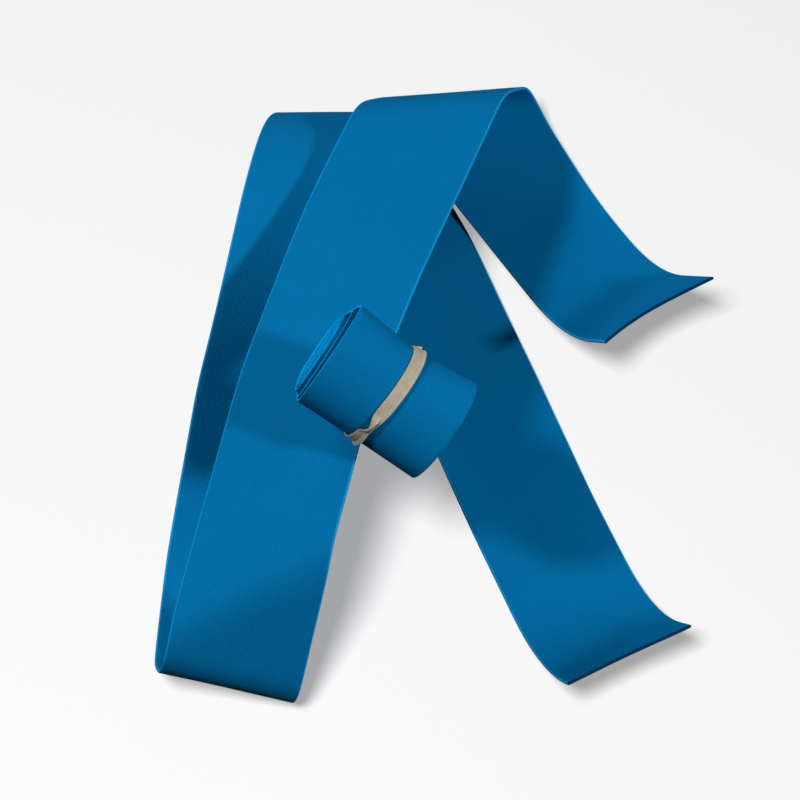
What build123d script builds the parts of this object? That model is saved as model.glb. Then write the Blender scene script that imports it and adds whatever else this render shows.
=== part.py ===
from build123d import *
from math import ceil, cos, radians, tan
import os

# A pair of elastic hand wraps, in millimetres, +Z up.
# One strap stands loose in two tall folds. The other is wound into a roll that lies on the front fold, and a
# rubber band keeps the roll shut. The origin is the middle of the whole set's box, on the surface it stands on.

# ---- the webbing of both straps -------------------------------------------------------------------------
STRAP_WIDTH = 50.0
STRAP_THICK = 1.2
STRAP_LENGTH = 1013.0

# ---- how the loose strap lies ---------------------------------------------------------------------------
# The middle of its rear end, and the way the strap points there.
START = (77.9, 22.46, 41.83)
HEADING = 128.9             # degrees about +Z
DIVE = 53.2                 # degrees down towards the floor
LEAN = 1.1                  # degrees about the strap's own length
# Each bend is made over straight lines drawn across the flat strap: (distance along the strap, length of
# strap it takes, angle in degrees, skew of the line in degrees). A positive angle bends the strap towards
# the face that looks up at its rear end.
BENDS = [
    (37, 39, 48, 11),       # the rear end curls up off the floor
    (102, 27, 21, -34),     # first leg
    (142, 26, 115, -24),    # first ridge
    (188, 19, 40, -30),
    (278, 47, 18, 34),      # front leg, which carries the roll
    (335, 28, 14, 5),
    (410, 15, 53, -37),     # turn at the foot of the front leg
    (449, 16, 65, 8),
    (473, 16, 60, -8),
    (527, 20, 27, 32),      # back leg, under the front one
    (574, 19, 25, -18),
    (662, 124, -102, 14),   # second ridge, which curls under
    (749, 28, -124, 17),
    (775, 18, -13, 13),     # last leg, along the floor
    (813, 20, 11, -8),
    (940, 40, -5, -4),
    (986, 43, -54, -11),    # the front end curls up off the floor
]
BEND_STEP = 9.0             # degrees between two sections of a bend

# ---- the rolled strap -----------------------------------------------------------------------------------
ROLL_CENTRE = (-19.8, -48.9, 97.5)
ROLL_AXIS = (0.836, -0.319, -0.453)     # from its upper end down to its lower end
ROLL_FLAT = (0.512, 0.751, 0.416)       # the long way across the flattened roll
ROLL_LENGTH = 48.8          # the webbing narrows a little when it is wound tight
ROLL_ACROSS = 38.6
ROLL_DEEP = 30.0
ROLL_EDGE = 1.0             # rounding of the roll's ends
CORE_ACROSS = 30.0          # the inner turns stand out of the upper end
CORE_DEEP = 20.0
CORE_PROUD = 2.2

# ---- the rubber band, round the roll --------------------------------------------------------------------
BAND_WIDTH = 4.8
BAND_THICK = 1.2
BAND_GAP = 0.3              # between the band and the roll
BAND_ALONG = 0.3            # from the roll's middle towards its lower end
BAND_EDGE = 0.4

os.makedirs("parts", exist_ok=True)


def across(line, skew):
    """The strap's section at one line of a bend: a thin rectangle as long as the slanted line."""
    frame = Plane(line)
    section = Plane(origin=frame.origin, x_dir=frame.y_dir, z_dir=frame.x_dir)
    return section, STRAP_WIDTH / cos(radians(skew))


def strap_sections():
    """The sections of the loose strap, from its rear end to its front end."""
    sheet = Location(START) * Rot(0, 0, HEADING) * Rot(0, DIVE, 0) * Rot(LEAN, 0, 0)
    yield across(sheet, 0)
    for place, taken, angle, skew in BENDS:
        radius = taken / radians(angle)
        crease = sheet * Pos(place, 0, 0) * Rot(0, 0, skew)
        centre = crease * Pos(-taken / 2, 0, radius)
        steps = ceil(abs(angle) / BEND_STEP)
        for step in range(steps + 1):
            share = step / steps
            slide = -taken * (share - 0.5) * tan(radians(skew))
            yield across(centre * Rot(0, -angle * share, 0) * Pos(0, slide, -radius), skew)
        sheet = centre * Rot(0, -angle, 0) * Pos(-taken / 2, 0, -radius) * Rot(0, 0, -skew) * Pos(-place, 0, 0)
    yield across(sheet * Pos(STRAP_LENGTH, 0, 0), 0)


# ---- loose strap ------------------------------------------------------------------------------------------
with BuildPart() as loose_wrap:
    for section, length in strap_sections():
        with BuildSketch(section):
            Rectangle(length, STRAP_THICK)
    loft(ruled=True)

# ---- rolled strap -----------------------------------------------------------------------------------------
roll_plane = Plane(origin=ROLL_CENTRE, x_dir=ROLL_FLAT, z_dir=ROLL_AXIS)

with BuildPart() as rolled_wrap:
    with BuildSketch(roll_plane.offset(-ROLL_LENGTH / 2)):
        Ellipse(ROLL_ACROSS / 2, ROLL_DEEP / 2)
    extrude(amount=ROLL_LENGTH)
    fillet(rolled_wrap.edges(), ROLL_EDGE)
    with BuildSketch(roll_plane.offset(-ROLL_LENGTH / 2 - CORE_PROUD)):
        Ellipse(CORE_ACROSS / 2, CORE_DEEP / 2)
    extrude(amount=CORE_PROUD * 2)

# ---- rubber band ------------------------------------------------------------------------------------------
with BuildPart() as rubber_band:
    with BuildSketch(roll_plane.offset(BAND_ALONG - BAND_WIDTH / 2)):
        Ellipse(ROLL_ACROSS / 2 + BAND_GAP + BAND_THICK, ROLL_DEEP / 2 + BAND_GAP + BAND_THICK)
        Ellipse(ROLL_ACROSS / 2 + BAND_GAP, ROLL_DEEP / 2 + BAND_GAP, mode=Mode.SUBTRACT)
    extrude(amount=BAND_WIDTH)
    fillet(rubber_band.edges(), BAND_EDGE)

loose_wrap.part.label = "loose_wrap"
rolled_wrap.part.label = "rolled_wrap"
rubber_band.part.label = "rubber_band"
export_step(loose_wrap.part, "parts/loose_wrap.step")
export_step(rolled_wrap.part, "parts/rolled_wrap.step")
export_step(rubber_band.part, "parts/rubber_band.step")
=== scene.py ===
from math import cos, pi, radians, sin

import bpy
import numpy as np
from mathutils import Matrix, Vector


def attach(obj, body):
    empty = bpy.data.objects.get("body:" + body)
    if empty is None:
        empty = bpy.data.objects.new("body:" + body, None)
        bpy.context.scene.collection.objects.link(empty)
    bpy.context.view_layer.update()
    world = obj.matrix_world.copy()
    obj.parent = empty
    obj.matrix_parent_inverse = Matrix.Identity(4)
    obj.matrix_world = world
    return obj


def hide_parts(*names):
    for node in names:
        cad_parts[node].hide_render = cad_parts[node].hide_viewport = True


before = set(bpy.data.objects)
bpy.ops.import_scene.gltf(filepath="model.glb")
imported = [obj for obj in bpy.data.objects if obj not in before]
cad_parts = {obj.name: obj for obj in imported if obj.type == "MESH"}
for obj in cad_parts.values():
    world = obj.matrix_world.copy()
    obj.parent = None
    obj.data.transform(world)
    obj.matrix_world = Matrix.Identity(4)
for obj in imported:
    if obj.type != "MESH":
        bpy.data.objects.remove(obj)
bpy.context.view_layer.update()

# A pair of elastic hand wraps. One strap stands loose in two tall folds. The other is wound into a roll that
# lies on the front fold, and a rubber band goes twice round the roll. Lengths are in metres.
MM = 0.001

# ---- the webbing of both straps --------------------------------------------------------------------------
STRAP_WIDTH = 50 * MM
STRAP_THICK = 1.2 * MM
STRAP_LENGTH = 1013 * MM
PAINTED_HIGHLIGHT_WIDTH = 0.65 * MM        # the strip along both edges of the loose strap that is painted brighter as a highlight
WOUND_HIGHLIGHT_WIDTH = 0.7 * MM   # and of the rolled one

# The webbing is never quite flat. Its unevenness is a sum of waves along the strap.
RIPPLE = 0.12 * MM
LONG_WAVE = 23 * MM         # each is a wavelength over two pi
SHORT_WAVE = 7.3 * MM
EDGE_WAVE = 11 * MM
LONG_WAVE_ACROSS = 19 * MM  # how the waves change from one edge to the other
SHORT_WAVE_ACROSS = 31 * MM
LONG_SWAY = 1.7             # how far the waves wander along the strap, in radians
SHORT_SWAY = 0.8
SHORT_SHARE = 0.5           # heights beside the long wave's
EDGE_SHARE = 1.2

# ---- how the loose strap lies, as in the CAD model --------------------------------------------------------
# The middle of its rear end, and the way the strap points there.
START = Vector((77.9, 22.46, 41.83)) * MM
HEADING = 128.9             # degrees about +Z
DIVE = 53.2                 # degrees down towards the floor
LEAN = 1.1                  # degrees about the strap's own length
# The bends, made over straight lines drawn across the flat strap: (distance along it in mm, length it takes
# in mm, angle in degrees, skew of the line in degrees).
BENDS = [
    (37, 39, 48, 11),       # the rear end curls up off the floor
    (102, 27, 21, -34),     # first leg
    (142, 26, 115, -24),    # first ridge
    (188, 19, 40, -30),
    (278, 47, 18, 34),      # front leg, which carries the roll
    (335, 28, 14, 5),
    (410, 15, 53, -37),     # turn at the foot of the front leg
    (449, 16, 65, 8),
    (473, 16, 60, -8),
    (527, 20, 27, 32),      # back leg, under the front one
    (574, 19, 25, -18),
    (662, 124, -102, 14),   # second ridge, which curls under
    (749, 28, -124, 17),
    (775, 18, -13, 13),     # last leg, along the floor
    (813, 20, 11, -8),
    (940, 40, -5, -4),
    (986, 43, -54, -11),    # the front end curls up off the floor
]
ROW_STEP = 1.5 * MM         # between two rows of points along the loose strap
BEND_EASE = 4.0 * MM        # how far a bend runs out into the straight webbing beside it
END_WAVE = 0.6 * MM         # how far the cut ends wander from a straight line
END_WAVE_LENGTH = 8.5 * MM  # over two pi
END_WAVE_PHASE = 0.9
START_HOLLOW = 6.0 * MM     # how far the middle of each end is drawn in between its corners
FINISH_HOLLOW = 0.9 * MM
END_REACH = 30 * MM         # over this much strap beside them

# ---- the rolled strap ------------------------------------------------------------------------------------
# Middle, axis and flat side as in the CAD model. The slack turns stand out a little further than its solid.
ROLL_CENTRE = Vector((-19.8, -48.9, 97.5)) * MM
ROLL_AXIS = Vector((0.836, -0.319, -0.453)).normalized()    # from its upper end down to its lower end
LONG_WAY = Vector((0.512, 0.751, 0.416))                    # the long way across the flattened roll
ROLL_FLAT = (LONG_WAY - ROLL_AXIS * LONG_WAY.dot(ROLL_AXIS)).normalized()
ROLL_FACE = ROLL_AXIS.cross(ROLL_FLAT)
ROLL_LENGTH = 48.8 * MM
ROLL_ACROSS = 39.4 * MM
ROLL_DEEP = 30.0 * MM
SNUG_TURNS = 13             # wound tight about the middle fold
SLACK_TURNS = 2.85          # looser turns outside them
GROWING_TURNS = 2.0         # of the looser turns, those that still get larger
THICKENING = 0.125          # the share of the growing turns in which the webbing gets its slack thickness
RIPPLES_FROM = 0.15         # the share of them after which the webbing is free to be uneven
RIPPLES_OVER = 0.5
SNUG_THICK = 0.52 * MM      # the webbing is thinner where it is wound tight
SLACK_THICK = 1.0 * MM
WOUND_ROUNDING = SNUG_THICK / 6     # the selvedges are pressed flat in the roll
CORE_FOLD = 5.6 * MM        # half the length of the fold that the strap is wound on
FOLD_DEEP = SNUG_THICK * 0.55   # half its depth
SNUG_ACROSS = 14.6 * MM     # half sizes of the tight turns
SNUG_DEEP = 7.2 * MM
SNUG_BACK = 5.3 * MM        # the tight turns lie against the back of the roll
SNUG_LOW = 1.2 * MM         # and a little towards the lower side
TAIL_ANGLE = -50.0          # where the outer end lies, in degrees from the long side towards the face
CORE_OUT = 3.2 * MM         # how far the core stands out of the upper end
SNUG_OUT = 2.2 * MM         # and the outermost tight turn
FACE_OUT = 2.4 * MM         # the outer turns reach further over the face
TURN_UNEVEN = 0.1 * MM      # the tight turns are not quite level with each other
UNEVEN_RATE = 3 / 7         # waves of that for each turn
PINCH = 2.6 * MM            # the band draws the upper side in
PINCH_REACH = 25 * MM       # this far along the roll
PINCH_ROUNDING = 4 * MM
PINCH_FADE = 1.5            # a power: how quickly the pinch fades away from the upper side
LINE_POINTS = 8000          # points by which the wound line is measured

# ---- the rubber band: one band that goes twice round the roll ---------------------------------------------
BAND_ALONG = 0.3 * MM       # its middle, from the roll's middle towards the lower end
BAND_SLANT = 1.1 * MM       # it is not quite square to the roll
WIDE_STRAND = 3.4 * MM
NARROW_STRAND = 1.6 * MM
STRAND_THICK = 0.7 * MM
STRAND_APART = 2.3 * MM     # from the middle of the wide turn to the middle of the narrow one
CLEAR = 0.12 * MM           # between the band and the roll
# Places round the roll are in degrees from the upper side, 0 to 360 in the wide turn and on to 720 in the
# narrow one.
TO_NARROW_AT = 270.0        # where the wide turn starts to get narrow, on the hidden side
TO_WIDE_AT = 630.0
SWAP_TAKES = 70.0
TWIST_AT = 128.0            # where the wide turn flips over
TWIST_SPREAD = 9.0
TWIST_TAKES = 30.6          # degrees in which it flips
TWIST_NARROWING = 0.42      # the band draws together in the twist
TWIST_ASIDE = 0.35 * MM
TWIST_PROUD = 0.36 * MM
CROSS_AT = TWIST_AT + 360 + 6   # where the narrow turn crosses, just past the twist
CROSS_SPREAD = 16.0
CROSS_ASIDE = 1.1 * MM
NARROW_ROLLED = 0.35        # the narrow turn is thicker by this share
NARROW_LEAN = 0.5           # and it leans, in radians, by this
LEAN_CHANGE = 0.35          # and this much more or less
LEAN_RATE = 1.5             # waves of that for each turn
LEAN_LIFT = 0.35            # share of its width by which the lean lifts it
GROOVE = 0.22               # share of the thickness taken by the groove of a stretched band
GROOVE_SPREAD = 0.35
BAND_ROWS = 960             # points along the band
BAND_COLUMNS = 28           # points round its section
SQUARE_SIDES = 0.4          # powers that square the section's corners
SQUARE_FACES = 0.6

# ---- mesh helpers ----------------------------------------------------------------------------------------
ROUND_STEPS = np.radians([80, 60, 35, 0])   # points of a rounded edge, from the rim to the flat face
FLAT_POINTS = 33                            # points across the flat face
SHARP_ANGLE = 60.0                          # degrees
FACE_SLOT, HIGHLIGHT_SLOT, CUT_SLOT = range(3)   # the materials of a strap: its faces, its edges painted brighter as a highlight, and its cut ends painted dark as shade


def placed(name, data):
    """A new object in the scene."""
    made = bpy.data.objects.new(name, data)
    bpy.context.scene.collection.objects.link(made)
    return made


def across_profile(width, thick, rounding):
    """Places across the webbing, from edge to edge, and half the thickness at each: the edges are rounded."""
    edge = width / 2 - rounding * (1 - np.sin(ROUND_STEPS))
    half = thick / 2 * np.cos(ROUND_STEPS)
    inner = np.linspace(-edge[-1], edge[-1], FLAT_POINTS)[1:-1]
    places = np.concatenate([-edge, inner, edge[::-1]])
    halves = np.concatenate([half, np.full(len(inner), thick / 2), half[::-1]])
    return places, halves


def surface_normals(middle):
    """Unit normals of a grid of points, (rows, places, 3)."""
    along = np.gradient(middle, axis=0)
    across = np.gradient(middle, axis=1)
    normal = np.cross(along, across)
    return normal / np.linalg.norm(normal, axis=2, keepdims=True)


def strap_faces(rows, columns):
    """The faces of a closed strap: both sides, both edges, and the two cut ends last."""
    other = rows * columns
    grid = np.arange(other).reshape(rows, columns)
    a, b, c, d = grid[:-1, :-1], grid[1:, :-1], grid[1:, 1:], grid[:-1, 1:]
    left, right = grid[:, 0], grid[:, -1]
    start, end = grid[0], grid[-1]
    corners = [
        (a, b, c, d),
        (a + other, d + other, c + other, b + other),
        (left[1:], left[:-1], left[:-1] + other, left[1:] + other),
        (right[:-1], right[1:], right[1:] + other, right[:-1] + other),
        (start[:-1], start[1:], start[1:] + other, start[:-1] + other),
        (end[1:], end[:-1], end[:-1] + other, end[1:] + other),
    ]
    return np.concatenate([np.stack(four, axis=-1).reshape(-1, 4) for four in corners])


def strap_mesh(name, middle, halves, along, places, highlight_width):
    """A closed strap about a grid of points. The UV layer "cloth" holds the places on the flat strap."""
    rows, columns = middle.shape[:2]
    lift = surface_normals(middle) * halves[..., None]
    points = np.concatenate([(middle + lift).reshape(-1, 3), (middle - lift).reshape(-1, 3)])
    faces = strap_faces(rows, columns)
    mesh = bpy.data.meshes.new(name)
    mesh.from_pydata(points.tolist(), [], faces.tolist())
    flat = np.stack([along, places], axis=-1).reshape(-1, 2)
    flat = np.concatenate([flat, flat])
    cloth = mesh.uv_layers.new(name="cloth")
    corner = np.zeros(len(mesh.loops), np.int32)
    mesh.loops.foreach_get("vertex_index", corner)
    cloth.data.foreach_set("uv", flat[corner].astype(np.float32).ravel())
    # faces near either edge take the edge material, which is painted brighter as a highlight
    outer = abs(flat[faces, 1]).mean(axis=1) > flat[:, 1].max() - highlight_width
    # the cut ends take a material painted dark as shade
    cut = np.zeros(len(faces), bool)
    cut[-2 * (columns - 1):] = True
    slots = np.where(cut, CUT_SLOT, np.where(outer, HIGHLIGHT_SLOT, FACE_SLOT))
    mesh.polygons.foreach_set("material_index", slots.astype(np.int32))
    mesh.polygons.foreach_set("use_smooth", ~cut)
    mesh.set_sharp_from_angle(angle=radians(SHARP_ANGLE))
    mesh.update()
    return placed(name, mesh)


def ripples(along, across):
    """Small unevenness of the webbing's face, as a height."""
    long_wave = np.sin(along / LONG_WAVE + LONG_SWAY * np.sin(across / LONG_WAVE_ACROSS))
    short_wave = np.sin(along / SHORT_WAVE + across / SHORT_WAVE_ACROSS + SHORT_SWAY * long_wave)
    edge_wave = np.sin(along / EDGE_WAVE) * (2 * across / STRAP_WIDTH) ** 4
    return RIPPLE * (long_wave + SHORT_SHARE * short_wave + EDGE_SHARE * edge_wave)


# ---- loose strap -----------------------------------------------------------------------------------------
def ease_rows(spacing):
    """How many rows to each side the easing of the bends takes in."""
    return int(3 * BEND_EASE / spacing)


def eased(grid, spacing):
    """The grid smoothed along the strap, without the rows at both ends that only the smoothing needs."""
    reach = ease_rows(spacing)
    offsets = np.arange(-reach, reach + 1) * spacing
    weights = np.exp(-0.5 * (offsets / BEND_EASE) ** 2)
    weights /= weights.sum()
    return sum(w * grid[k:len(grid) - 2 * reach + k] for k, w in enumerate(weights))


def bent(along, across):
    """Points of the flat strap once every bend is made, from the last to the first."""
    forward, sideways, height = along.copy(), across.copy(), np.zeros_like(along)
    for place, taken, angle, skew in reversed(BENDS):
        c, s = cos(radians(skew)), sin(radians(skew))
        taken = taken * MM
        begins = place * MM * c - taken / 2
        radius = taken / radians(angle)
        inside = np.clip(along * c + across * s - begins, 0, taken)
        phase = inside / radius
        ahead = forward * c + sideways * s - begins - inside
        aside = -forward * s + sideways * c
        moved = radius * np.sin(phase) + ahead * np.cos(phase) - height * np.sin(phase)
        height = radius * (1 - np.cos(phase)) + ahead * np.sin(phase) + height * np.cos(phase)
        forward = (moved + begins) * c - aside * s
        sideways = (moved + begins) * s + aside * c
    turn = Matrix.Rotation(radians(HEADING), 3, "Z") @ Matrix.Rotation(radians(DIVE), 3, "Y")
    turn = np.array(turn @ Matrix.Rotation(radians(LEAN), 3, "X"))
    return np.array(START) + np.stack([forward, sideways, height], axis=-1) @ turn.T


def hand_cut(along, across):
    """Distances along the strap, changed near its ends: cut by hand, they are not quite straight."""
    wave = END_WAVE * np.sin(across / END_WAVE_LENGTH + END_WAVE_PHASE)
    hollow = 1 - (2 * across / STRAP_WIDTH) ** 2
    near_start = np.exp(-(along / END_REACH) ** 2)
    near_finish = np.exp(-((along - STRAP_LENGTH) / END_REACH) ** 2)
    at_start = (wave + START_HOLLOW * hollow) * near_start
    at_finish = (wave + FINISH_HOLLOW * hollow) * near_finish
    return along + at_start - at_finish


def loose_strap():
    places, halves = across_profile(STRAP_WIDTH, STRAP_THICK, STRAP_THICK / 2)
    rows = round(STRAP_LENGTH / ROW_STEP) + 1
    spacing = STRAP_LENGTH / (rows - 1)
    reach = ease_rows(spacing)
    steps = (np.arange(rows + 2 * reach) - reach) * spacing
    along, across = np.meshgrid(steps, places, indexing="ij")
    along = hand_cut(along, across)
    middle = eased(bent(along, across), spacing)
    along, across = along[reach:rows + reach], across[reach:rows + reach]
    middle = middle + surface_normals(middle) * ripples(along, across)[..., None]
    return strap_mesh("loose_strap", middle, np.broadcast_to(halves, across.shape), along, across, PAINTED_HIGHLIGHT_WIDTH)


# ---- rolled strap ----------------------------------------------------------------------------------------
def on_roll(flat, face, axial):
    """Points this far from the roll's middle along its flat side, out of its face and down its axis."""
    points = np.array(ROLL_CENTRE) + flat[..., None] * np.array(ROLL_FLAT)
    points = points + face[..., None] * np.array(ROLL_FACE)
    return points + axial[..., None] * np.array(ROLL_AXIS)


def pinch(axial, upper_share):
    """How far the band draws the roll in, at a place along it: upper_share is 1 on the upper side."""
    away = np.sqrt((axial - BAND_ALONG) ** 2 + PINCH_ROUNDING ** 2)
    near = np.clip(1 - away / PINCH_REACH, 0, 1)
    return PINCH * near * np.clip(upper_share, 0, 1) ** PINCH_FADE


def wound_line(turn):
    """The strap's middle line in the roll's cross-section, at a number of turns from the middle fold."""
    angle = 2 * pi * (turn - SNUG_TURNS - SLACK_TURNS) + radians(TAIL_ANGLE)
    slack = np.clip((turn - SNUG_TURNS) / GROWING_TURNS, 0, 1)
    snug = np.minimum(turn, SNUG_TURNS) / SNUG_TURNS
    wide = CORE_FOLD + (SNUG_ACROSS - CORE_FOLD) * snug
    wide = wide + (ROLL_ACROSS / 2 - SLACK_THICK / 2 - SNUG_ACROSS) * slack
    deep = FOLD_DEEP + (SNUG_DEEP - FOLD_DEEP) * snug
    deep = deep + (ROLL_DEEP / 2 - SLACK_THICK / 2 - SNUG_DEEP) * slack
    x = wide * np.cos(angle) - SNUG_LOW * (1 - slack)
    y = deep * np.sin(angle) - SNUG_BACK * (1 - slack)
    return x, y, angle, snug, slack


def rolled_strap():
    fine = np.linspace(0, SNUG_TURNS + SLACK_TURNS, LINE_POINTS)
    x, y = wound_line(fine)[:2]
    run = np.concatenate([[0], np.cumsum(np.hypot(np.diff(x), np.diff(y)))])
    rows = round(run[-1] / MM) + 1
    steps = np.linspace(0, run[-1], rows)
    x, y, angle, snug, slack = wound_line(np.interp(steps, run, fine))
    # halves is a share of the thickness here, which changes from turn to turn
    places, halves = across_profile(ROLL_LENGTH, 1.0, WOUND_ROUNDING)
    along, across = np.meshgrid(steps, places, indexing="ij")
    thick = SNUG_THICK + (SLACK_THICK - SNUG_THICK) * np.clip(slack / THICKENING, 0, 1)
    # the tight turns stand out of the upper end, the core the furthest
    slide = -(SNUG_OUT + (CORE_OUT - SNUG_OUT) * (1 - snug)) * (1 - slack)
    slide = slide + TURN_UNEVEN * np.sin(UNEVEN_RATE * angle) * (1 - slack)
    # the outer turns reach further over the face, at the upper end only
    upper = 0.5 - across / ROLL_LENGTH
    face = np.clip(np.sin(angle), 0, 1) * np.sqrt(slack) * FACE_OUT
    axial = across + slide[:, None] - face[:, None] * upper
    flat = x[:, None] - pinch(axial, x[:, None] / (ROLL_ACROSS / 2))
    middle = on_roll(flat, y[:, None], axial)
    loose_share = np.clip((slack - RIPPLES_FROM) / RIPPLES_OVER, 0, 1)[:, None]
    middle = middle + surface_normals(middle) * (ripples(along, across) * loose_share)[..., None]
    return strap_mesh("rolled_strap", middle, thick[:, None] * halves, along, across, WOUND_HIGHLIGHT_WIDTH)


# ---- rubber band -----------------------------------------------------------------------------------------
def smooth_step(value):
    value = np.clip(value, 0, 1)
    return value * value * (3 - 2 * value)


def bump_at(degrees, place, spread):
    """1 at a place round the roll, falling off to 0 beside it."""
    return np.exp(-((degrees - place) / spread) ** 2)


def band_strands():
    """The band's line twice round the roll, and how its flat section is sized, tilted and lifted along it."""
    angle = np.linspace(0, 4 * pi, BAND_ROWS, endpoint=False)
    degrees = np.degrees(angle)
    narrowed = smooth_step((degrees - TO_NARROW_AT) / SWAP_TAKES)
    widened = smooth_step((degrees - TO_WIDE_AT) / SWAP_TAKES)
    wide = 1 - narrowed + widened
    width = NARROW_STRAND + (WIDE_STRAND - NARROW_STRAND) * wide
    near_twist = bump_at(degrees, TWIST_AT, TWIST_SPREAD)
    flip = pi * smooth_step((degrees - TWIST_AT) / TWIST_TAKES + 0.5)
    width = width * (1 - TWIST_NARROWING * near_twist)
    # the narrow turn is rolled up a little, and crosses under the twist
    thick = STRAND_THICK * (1 + NARROW_ROLLED * (1 - wide))
    lean = (degrees > 360) * (NARROW_LEAN + LEAN_CHANGE * np.sin(LEAN_RATE * angle))
    aside = STRAND_APART * (0.5 - wide)
    aside = aside - CROSS_ASIDE * bump_at(degrees, CROSS_AT, CROSS_SPREAD) + TWIST_ASIDE * near_twist
    lifted = thick / 2 + abs(np.sin(flip)) * width / 2 + abs(np.sin(lean)) * width * LEAN_LIFT
    lifted = lifted + TWIST_PROUD * near_twist
    return angle, width, thick, aside, flip + lean, lifted


def band_section():
    """The band's flat section, in shares of half its width and thickness: rounded, with a groove."""
    corner = np.linspace(0, 2 * pi, BAND_COLUMNS, endpoint=False)
    across = np.sign(np.cos(corner)) * abs(np.cos(corner)) ** SQUARE_SIDES
    out = np.sign(np.sin(corner)) * abs(np.sin(corner)) ** SQUARE_FACES
    return across, out * (1 - GROOVE * np.exp(-(np.cos(corner) / GROOVE_SPREAD) ** 2))


def band_faces(half_turns):
    """The faces of the closed band, whose section makes this many half turns along it."""
    grid = np.arange(BAND_ROWS * BAND_COLUMNS).reshape(BAND_ROWS, BAND_COLUMNS)
    ahead, around = np.roll(grid, -1, axis=0), np.roll(grid, -1, axis=1)
    both = np.roll(ahead, -1, axis=1)
    faces = np.stack([grid, ahead, both, around], axis=-1)
    # the last row meets the first one, turned
    seam = half_turns * BAND_COLUMNS // 2
    faces[-1, :, 1] = np.roll(grid[0], -seam)
    faces[-1, :, 2] = np.roll(grid[0], -seam - 1)
    return faces.reshape(-1, 4)


def unit(vectors):
    return vectors / np.linalg.norm(vectors, axis=1, keepdims=True)


def band_piece():
    angle, width, thick, aside, tilt, lifted = band_strands()
    reach_flat = ROLL_ACROSS / 2 + CLEAR + lifted
    reach_face = ROLL_DEEP / 2 + CLEAR + lifted
    axial = BAND_ALONG + BAND_SLANT * np.cos(angle) + aside
    flat = np.cos(angle) * reach_flat - pinch(axial, np.cos(angle))
    line = on_roll(flat, np.sin(angle) * reach_face, axial)
    # three directions at each point: along the band, away from the roll, and across the band
    forward = unit(np.roll(line, -1, axis=0) - np.roll(line, 1, axis=0))
    away = unit(np.cross(forward, np.array(ROLL_AXIS)))
    away *= np.sign((away * (line - np.array(ROLL_CENTRE))).sum(axis=1, keepdims=True))
    side = np.cross(away, forward)
    across_share, out_share = band_section()
    across = across_share * width[:, None] / 2
    out = out_share * thick[:, None] / 2
    turned_across = across * np.cos(tilt)[:, None] - out * np.sin(tilt)[:, None]
    turned_out = across * np.sin(tilt)[:, None] + out * np.cos(tilt)[:, None]
    points = line[:, None, :] + turned_across[..., None] * side[:, None, :]
    points = points + turned_out[..., None] * away[:, None, :]
    half_turns = round(float(tilt[-1] - tilt[0]) / pi)
    mesh = bpy.data.meshes.new("band")
    mesh.from_pydata(points.reshape(-1, 3).tolist(), [], band_faces(half_turns).tolist())
    mesh.polygons.foreach_set("use_smooth", np.ones(len(mesh.polygons), bool))
    mesh.update()
    return placed("band", mesh)


# ---- materials -------------------------------------------------------------------------------------------
def material(name, colour, roughness, specular):
    made = bpy.data.materials.new(name)
    made.use_nodes = True
    shader = made.node_tree.nodes["Principled BSDF"]
    shader.inputs["Base Color"].default_value = (*colour, 1)
    shader.inputs["Roughness"].default_value = roughness
    shader.inputs["Specular IOR Level"].default_value = specular
    return made, made.node_tree, shader


def math_node(tree, operation, *values):
    node = tree.nodes.new("ShaderNodeMath")
    node.operation = operation
    for socket, value in zip(node.inputs, values):
        if isinstance(value, (int, float)):
            socket.default_value = value
        else:
            tree.links.new(value, socket)
    return node.outputs[0]


def noise_node(tree, vector, scale, detail):
    noise = tree.nodes.new("ShaderNodeTexNoise")
    noise.inputs["Scale"].default_value = scale
    noise.inputs["Detail"].default_value = detail
    tree.links.new(vector, noise.inputs["Vector"])
    return noise.outputs["Fac"]


def colour_mix(tree, factor, low, high):
    mix = tree.nodes.new("ShaderNodeMix")
    mix.data_type = "RGBA"
    mix.inputs["A"].default_value = (*low, 1)
    mix.inputs["B"].default_value = (*high, 1)
    tree.links.new(factor, mix.inputs["Factor"])
    return mix.outputs["Result"]


def bump_node(tree, shader, height, strength, distance):
    bump = tree.nodes.new("ShaderNodeBump")
    bump.inputs["Strength"].default_value = strength
    bump.inputs["Distance"].default_value = distance
    tree.links.new(height, bump.inputs["Height"])
    tree.links.new(bump.outputs[0], shader.inputs["Normal"])


WEBBING_ROUGHNESS = 0.85
WEBBING_SHINE = 0.04
WEFT_PITCH = 0.85 * MM      # ribs across the strap
WARP_PITCH = 0.7 * MM       # cords along the strap
WEAVE_DEPTH = 0.1 * MM
FACE_RELIEF = 0.45          # how strongly the weave shows on the faces
EDGE_RELIEF = 0.15
WEFT_WANDER = 26            # radians by which the ribs wander
COARSE_NOISE = 60           # waves in a metre
FINE_NOISE = 900
RIB_SHARE = 0.6             # plain ribs beside the weave
FUZZ_SHARE = 1.2            # and fine noise
PAINTED_HOLLOW_SHADE = 0.16          # painted shade: how much lighter the webbing is where the weave is high, and so darker in its hollows
MOTTLE = 0.5                # how uneven its colour is
MOTTLE_BASE = 0.25          # its lightness before either


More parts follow.
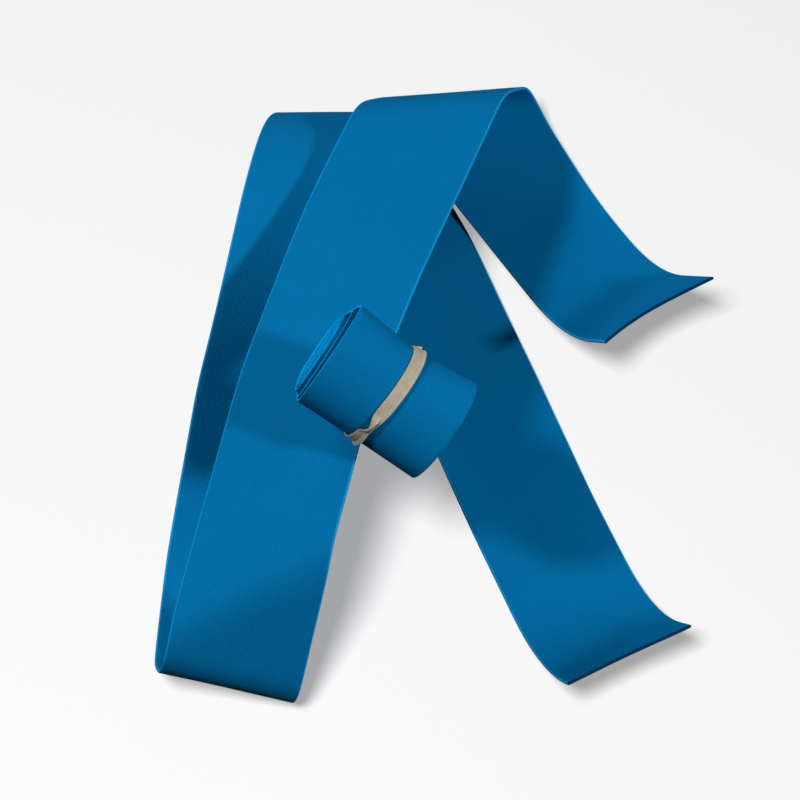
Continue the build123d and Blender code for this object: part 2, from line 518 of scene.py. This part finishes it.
def webbing_material(name, colour, shade, relief):
    """Plain-woven elastic webbing: fine ribs across the strap over cords along it, never quite regular. Its
    colour varies at random and is painted darker in the weave's hollows as shade.
    """
    made, tree, shader = material(name, colour, WEBBING_ROUGHNESS, WEBBING_SHINE)
    uv = tree.nodes.new("ShaderNodeUVMap")
    uv.uv_map = "cloth"
    split = tree.nodes.new("ShaderNodeSeparateXYZ")
    tree.links.new(uv.outputs[0], split.inputs[0])
    coarse = noise_node(tree, uv.outputs[0], COARSE_NOISE, 2)
    fine = noise_node(tree, uv.outputs[0], FINE_NOISE, 2)
    wander = math_node(tree, "MULTIPLY", coarse, WEFT_WANDER)
    weft = math_node(tree, "MULTIPLY_ADD", split.outputs["X"], 2 * pi / WEFT_PITCH, wander)
    warp = math_node(tree, "MULTIPLY", split.outputs["Y"], pi / WARP_PITCH)
    ribs = math_node(tree, "SINE", weft)
    weave = math_node(tree, "MULTIPLY", ribs, math_node(tree, "COSINE", warp))
    weave = math_node(tree, "MULTIPLY_ADD", ribs, RIB_SHARE, weave)
    height = math_node(tree, "MULTIPLY_ADD", fine, FUZZ_SHARE, weave)
    bump_node(tree, shader, height, relief, WEAVE_DEPTH)
    # the colour mixes random mottle with shade painted into the weave's hollows
    mottle = math_node(tree, "MULTIPLY_ADD", coarse, MOTTLE, MOTTLE_BASE)
    mottle_and_painted_shade = math_node(tree, "MULTIPLY_ADD", height, PAINTED_HOLLOW_SHADE, mottle)
    tree.links.new(colour_mix(tree, mottle_and_painted_shade, shade, colour), shader.inputs["Base Color"])
    return made


LATEX = (0.54, 0.49, 0.375)
LATEX_SHADE = (0.35, 0.305, 0.22)
LATEX_ROUGHNESS = 0.6
LATEX_SHINE = 0.25
LATEX_CLOUDS = 350          # waves in a metre
LATEX_GRAIN = 2600
CLOUD_HEIGHT = 1.5          # beside the grain's
LATEX_RELIEF = 0.25
LATEX_DEPTH = 0.08 * MM
LATEX_TRANSLUCENCY = 0.12


def latex_material():
    """Matte natural rubber with a light dusting, uneven in colour."""
    made, tree, shader = material("latex", LATEX, LATEX_ROUGHNESS, LATEX_SHINE)
    place = tree.nodes.new("ShaderNodeTexCoord").outputs["Object"]
    clouds = noise_node(tree, place, LATEX_CLOUDS, 3)
    grain = noise_node(tree, place, LATEX_GRAIN, 2)
    height = math_node(tree, "MULTIPLY_ADD", clouds, CLOUD_HEIGHT, grain)
    bump_node(tree, shader, height, LATEX_RELIEF, LATEX_DEPTH)
    tree.links.new(colour_mix(tree, clouds, LATEX_SHADE, LATEX), shader.inputs["Base Color"])
    shader.inputs["Subsurface Weight"].default_value = LATEX_TRANSLUCENCY
    shader.inputs["Subsurface Scale"].default_value = 1 * MM
    return made


BLUE = (0.0, 0.170, 0.410)
BLUE_SHADE = (0.0, 0.135, 0.345)
# the edge colours are painted brighter than the webbing, as a highlight
EDGE_HIGHLIGHT_BLUE = (0.006, 0.300, 0.690)
EDGE_HIGHLIGHT_DARK = (0.003, 0.250, 0.590)
WOUND_HIGHLIGHT_BLUE = (0.0, 0.360, 0.840)
WOUND_HIGHLIGHT_DARK = (0.0, 0.300, 0.710)
# painted shade: the cut ends are coloured far darker than the webbing, as though in shadow
SHADED_CUT_BLUE = (0.0, 0.040, 0.115)
SHADED_CUT_DARK = (0.0, 0.020, 0.070)
webbing = webbing_material("webbing", BLUE, BLUE_SHADE, FACE_RELIEF)
edge_highlight = webbing_material("edge_highlight", EDGE_HIGHLIGHT_BLUE, EDGE_HIGHLIGHT_DARK, EDGE_RELIEF)
wound_edge_highlight = webbing_material("wound_edge_highlight", WOUND_HIGHLIGHT_BLUE, WOUND_HIGHLIGHT_DARK, EDGE_RELIEF)
shaded_cut_end = webbing_material("shaded_cut_end", SHADED_CUT_BLUE, SHADED_CUT_DARK, FACE_RELIEF)

# ---- the three pieces ------------------------------------------------------------------------------------
loose = loose_strap()
rolled = rolled_strap()
for piece, edge in ((loose, edge_highlight), (rolled, wound_edge_highlight)):
    for finish in (webbing, edge, shaded_cut_end):
        piece.data.materials.append(finish)
band = band_piece()
band.data.materials.append(latex_material())

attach(loose, "loose")
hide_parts("loose_wrap")
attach(rolled, "roll")
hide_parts("rolled_wrap")
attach(band, "band")
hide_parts("rubber_band")

# ---- floor -----------------------------------------------------------------------------------------------
FLOOR_REACH = 6
FLOOR_COLOUR = (0.70, 0.70, 0.70)
FLOOR_ROUGHNESS = 0.9
FLOOR_GLOW = 0.37           # a bright table: shadows on it stay pale


def floor_piece():
    far = FLOOR_REACH
    mesh = bpy.data.meshes.new("floor")
    mesh.from_pydata([(-far, -far, 0), (far, -far, 0), (far, far, 0), (-far, far, 0)], [], [(0, 1, 2, 3)])
    made = placed("floor", mesh)
    finish, _, shader = material("floor", FLOOR_COLOUR, FLOOR_ROUGHNESS, 0.0)
    shader.inputs["Emission Color"].default_value = (1, 1, 1, 1)
    shader.inputs["Emission Strength"].default_value = FLOOR_GLOW
    mesh.materials.append(finish)
    # otherwise its glow would light the undersides of the folds
    made.visible_diffuse = False
    return made


floor = floor_piece()

# ---- light -----------------------------------------------------------------------------------------------
LAMP_DISTANCE = 2.5
# name, direction from the origin, size, share of the floor's brightness, whether it lights the floor
LAMPS = [
    ("right_lamp", (0.72, -0.28, 0.63), 0.30, 0.42, False),
    ("left_lamp", (-0.55, -0.10, 0.83), 0.30, 0.40, False),
    ("back_lamp", (-0.60, 0.55, 0.58), 1.2, 0.22, False),
    ("floor_lamp", (-0.21, -0.36, 1.0), 0.6, 0.79, True),
]
ROOM_BELOW = 0.03           # light from the room below the table and above it
ROOM_ABOVE = 0.17
ROOM_TURNS_AT = (-0.15, 0.25)   # the heights on the room's sphere between which it changes


def area_light(name, direction, size, share):
    """A disk lamp that would give a white floor at the origin this share of full brightness."""
    direction = Vector(direction).normalized()
    light = bpy.data.lights.new(name, "AREA")
    light.shape = "DISK"
    light.size = size
    light.energy = share * (pi * LAMP_DISTANCE) ** 2 / direction.z
    lamp = placed(name, light)
    lamp.location = direction * LAMP_DISTANCE
    lamp.rotation_euler = direction.to_track_quat("Z", "Y").to_euler()
    return lamp


def share_out(lamp, lights_floor):
    """The floor has a lamp of its own, so that the object's shadows on it stay soft and close."""
    receivers = bpy.data.collections.new(lamp.name + "_receivers")
    receivers.objects.link(floor)
    link = receivers.collection_objects[0].light_linking
    link.link_state = "INCLUDE" if lights_floor else "EXCLUDE"
    lamp.light_linking.receiver_collection = receivers


def studio_world():
    """Even light from the room above, and little from below the table's height."""
    made = bpy.data.worlds.new("studio")
    made.use_nodes = True
    tree = made.node_tree
    split = tree.nodes.new("ShaderNodeSeparateXYZ")
    tree.links.new(tree.nodes.new("ShaderNodeTexCoord").outputs["Generated"], split.inputs[0])
    height = tree.nodes.new("ShaderNodeMapRange")
    height.inputs["From Min"].default_value = ROOM_TURNS_AT[0]
    height.inputs["From Max"].default_value = ROOM_TURNS_AT[1]
    height.inputs["To Min"].default_value = ROOM_BELOW
    height.inputs["To Max"].default_value = ROOM_ABOVE
    tree.links.new(split.outputs["Z"], height.inputs["Value"])
    tree.links.new(height.outputs[0], tree.nodes["Background"].inputs["Strength"])
    return made


for lamp_name, lamp_direction, lamp_size, lamp_share, lights_floor in LAMPS:
    share_out(area_light(lamp_name, lamp_direction, lamp_size, lamp_share), lights_floor)
bpy.context.scene.world = studio_world()
bpy.context.scene.view_settings.view_transform = "Standard"

# ---- camera ----------------------------------------------------------------------------------------------
CAMERA_ELEVATION = 61.0     # degrees
CAMERA_ROLL = 3.0
CAMERA_DISTANCE = 1310 * MM
CAMERA_TARGET = Vector((-15.2, 2.4, -0.3)) * MM
CAMERA_SENSOR = 36
CAMERA_LENS = 157.5


def camera_piece():
    data = bpy.data.cameras.new("camera")
    data.sensor_width = CAMERA_SENSOR
    data.lens = CAMERA_LENS
    made = placed("camera", data)
    back = Vector((0, -cos(radians(CAMERA_ELEVATION)), sin(radians(CAMERA_ELEVATION))))
    made.location = CAMERA_TARGET + back * CAMERA_DISTANCE
    look = (-back).to_track_quat("-Z", "Y").to_matrix()
    made.rotation_euler = (look @ Matrix.Rotation(radians(CAMERA_ROLL), 3, "Z")).to_euler()
    return made


bpy.context.scene.camera = camera_piece()
